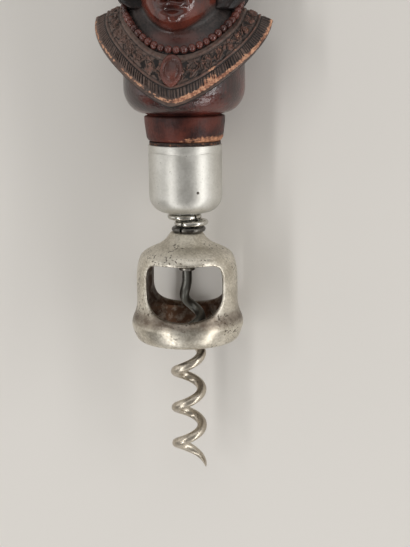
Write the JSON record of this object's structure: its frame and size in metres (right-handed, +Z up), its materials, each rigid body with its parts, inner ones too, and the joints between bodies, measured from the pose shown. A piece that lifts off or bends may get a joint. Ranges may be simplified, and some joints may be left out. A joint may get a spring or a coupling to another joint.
{
  "type": "figural corkscrew",
  "caption": "Straight-pull corkscrew with a carved wooden bust as its handle, a plated ferrule, a right-handed wire worm and a loose plated bell with open windows that turns on the shank.",
  "frame": {"origin": "on the ground under the middle of the corkscrew's length, as it lies on its back", "axes": "+Y along the shank towards the crown of the head, +Z up out of the face, +X to the right of a viewer who looks down at the face with the head away from them"},
  "size_m": [0.0458, 0.1529, 0.0325],
  "materials": {
    "lacquered_wood": "dark red-brown stain under gloss lacquer, worn to pale wood on the cape's edge",
    "ferrule_plate": "satin nickel plate with fine pits",
    "bell_plate": "soft polished nickel plate, dulled with age",
    "worm_steel": "plated steel wire with small dark spots",
    "ring_steel": "plain steel wire",
    "pin_steel": "dark steel"
  },
  "bodies": {
    "handle": {"bust": "lacquered_wood", "ferrule": "ferrule_plate", "cross_pin": "pin_steel", "worm": "worm_steel", "stop_collar": "pin_steel"},
    "upper_ring": {"upper_thrust_ring": "ring_steel"},
    "middle_ring": {"middle_thrust_ring": "ring_steel"},
    "lower_ring": {"lower_thrust_ring": "ring_steel"},
    "bell": {"bell": "bell_plate"}
  },
  "joints": [
    {"name": "bell_turn", "type": "hinge", "parent": "handle", "child": "bell", "pos_m": [0, -0.01596, 0.0149], "axis": [0, 1, 0], "continuous": true},
    {"name": "upper_ring_turn", "type": "hinge", "parent": "handle", "child": "upper_ring", "pos_m": [0, -0.00696, 0.0149], "axis": [0, 1, 0], "continuous": true},
    {"name": "middle_ring_turn", "type": "hinge", "parent": "handle", "child": "middle_ring", "pos_m": [0, -0.0086, 0.0149], "axis": [0, 1, 0], "continuous": true},
    {"name": "lower_ring_turn", "type": "hinge", "parent": "handle", "child": "lower_ring", "pos_m": [0, -0.0103, 0.0149], "axis": [0, 1, 0], "continuous": true}
  ]
}
